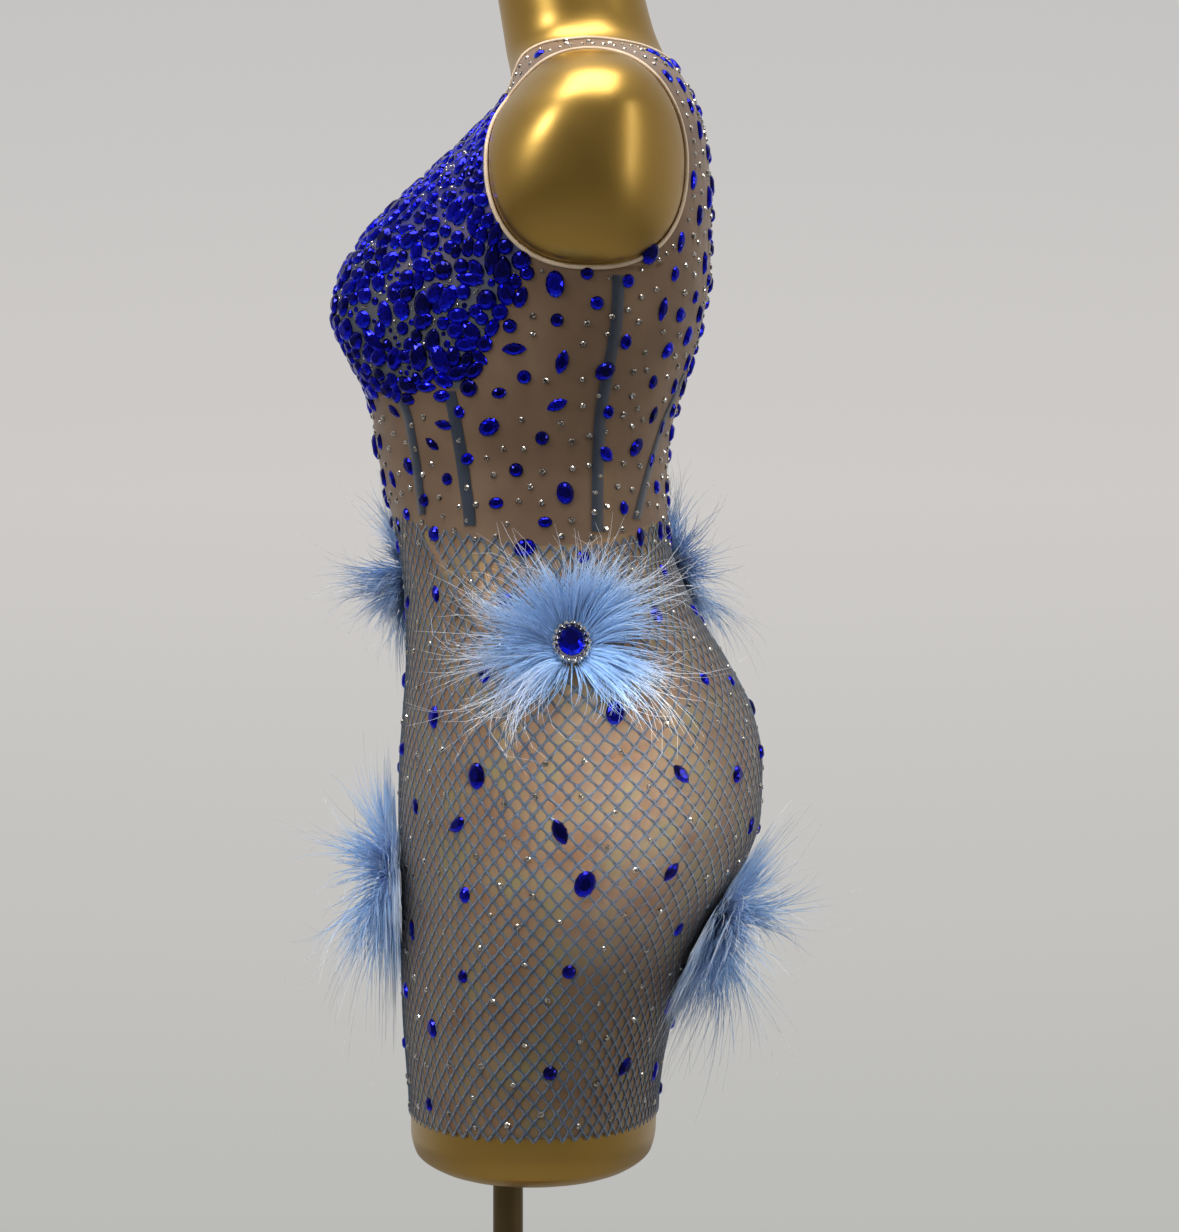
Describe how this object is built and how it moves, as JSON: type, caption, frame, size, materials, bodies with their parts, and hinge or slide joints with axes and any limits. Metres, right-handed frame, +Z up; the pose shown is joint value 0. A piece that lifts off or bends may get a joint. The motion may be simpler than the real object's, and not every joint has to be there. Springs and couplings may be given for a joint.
{
  "type": "sheer dress with feather rosettes on a limbless dress form",
  "caption": "Sleeveless sheer mini dress with raised blue stones, a net skirt and feather rosettes, shown on a gold limbless dress form with a pole and a round base.",
  "frame": {"origin": "middle of the base plate's underside, on the pole's axis, where the stand meets the floor", "axes": "+Z up along the pole; the front of the dress faces -Y; the wearer's left is +X"},
  "size_m": [0.4797, 0.3876, 1.476],
  "materials": {
    "stand_metal": "bronze-gold satin paint",
    "form_gold": "gold metallic satin skin",
    "nude_mesh": "sheer stretch mesh",
    "net_mesh": "stretch mesh under an open net",
    "binding": "folded stretch tape",
    "blue_tape": "sheer woven tape",
    "blue_feather": "soft feather",
    "blue_glass": "cut and backed, opaque"
  },
  "bodies": {
    "root": {"base_plate": "stand_metal", "stand_pole": "stand_metal", "form_torso": "form_gold", "form_cap_left": "form_gold", "form_cap_right": "form_gold", "bodice_front": "nude_mesh", "bodice_back": "nude_mesh", "skirt_front": "net_mesh", "skirt_back": "net_mesh", "neck_binding": "binding", "armhole_binding_left": "binding", "armhole_binding_right": "binding", "boning_tape_front_left": "blue_tape", "boning_tape_front_right": "blue_tape", "boning_tape_side_front_left": "blue_tape", "boning_tape_side_front_right": "blue_tape", "boning_tape_side_back_left": "blue_tape", "boning_tape_side_back_right": "blue_tape", "boning_tape_back_left": "blue_tape", "boning_tape_back_right": "blue_tape", "rosette_hip_left": "blue_feather", "rosette_hip_front": "blue_feather", "rosette_hip_back": "blue_feather", "rosette_thigh_front": "blue_feather", "rosette_thigh_back": "blue_feather", "rosette_thigh_right": "blue_feather", "brooch_hip_left": "blue_glass", "brooch_hip_front": "blue_glass", "brooch_hip_back": "blue_glass", "brooch_thigh_front": "blue_glass", "brooch_thigh_back": "blue_glass", "brooch_thigh_right": "blue_glass"}
  },
  "joints": []
}
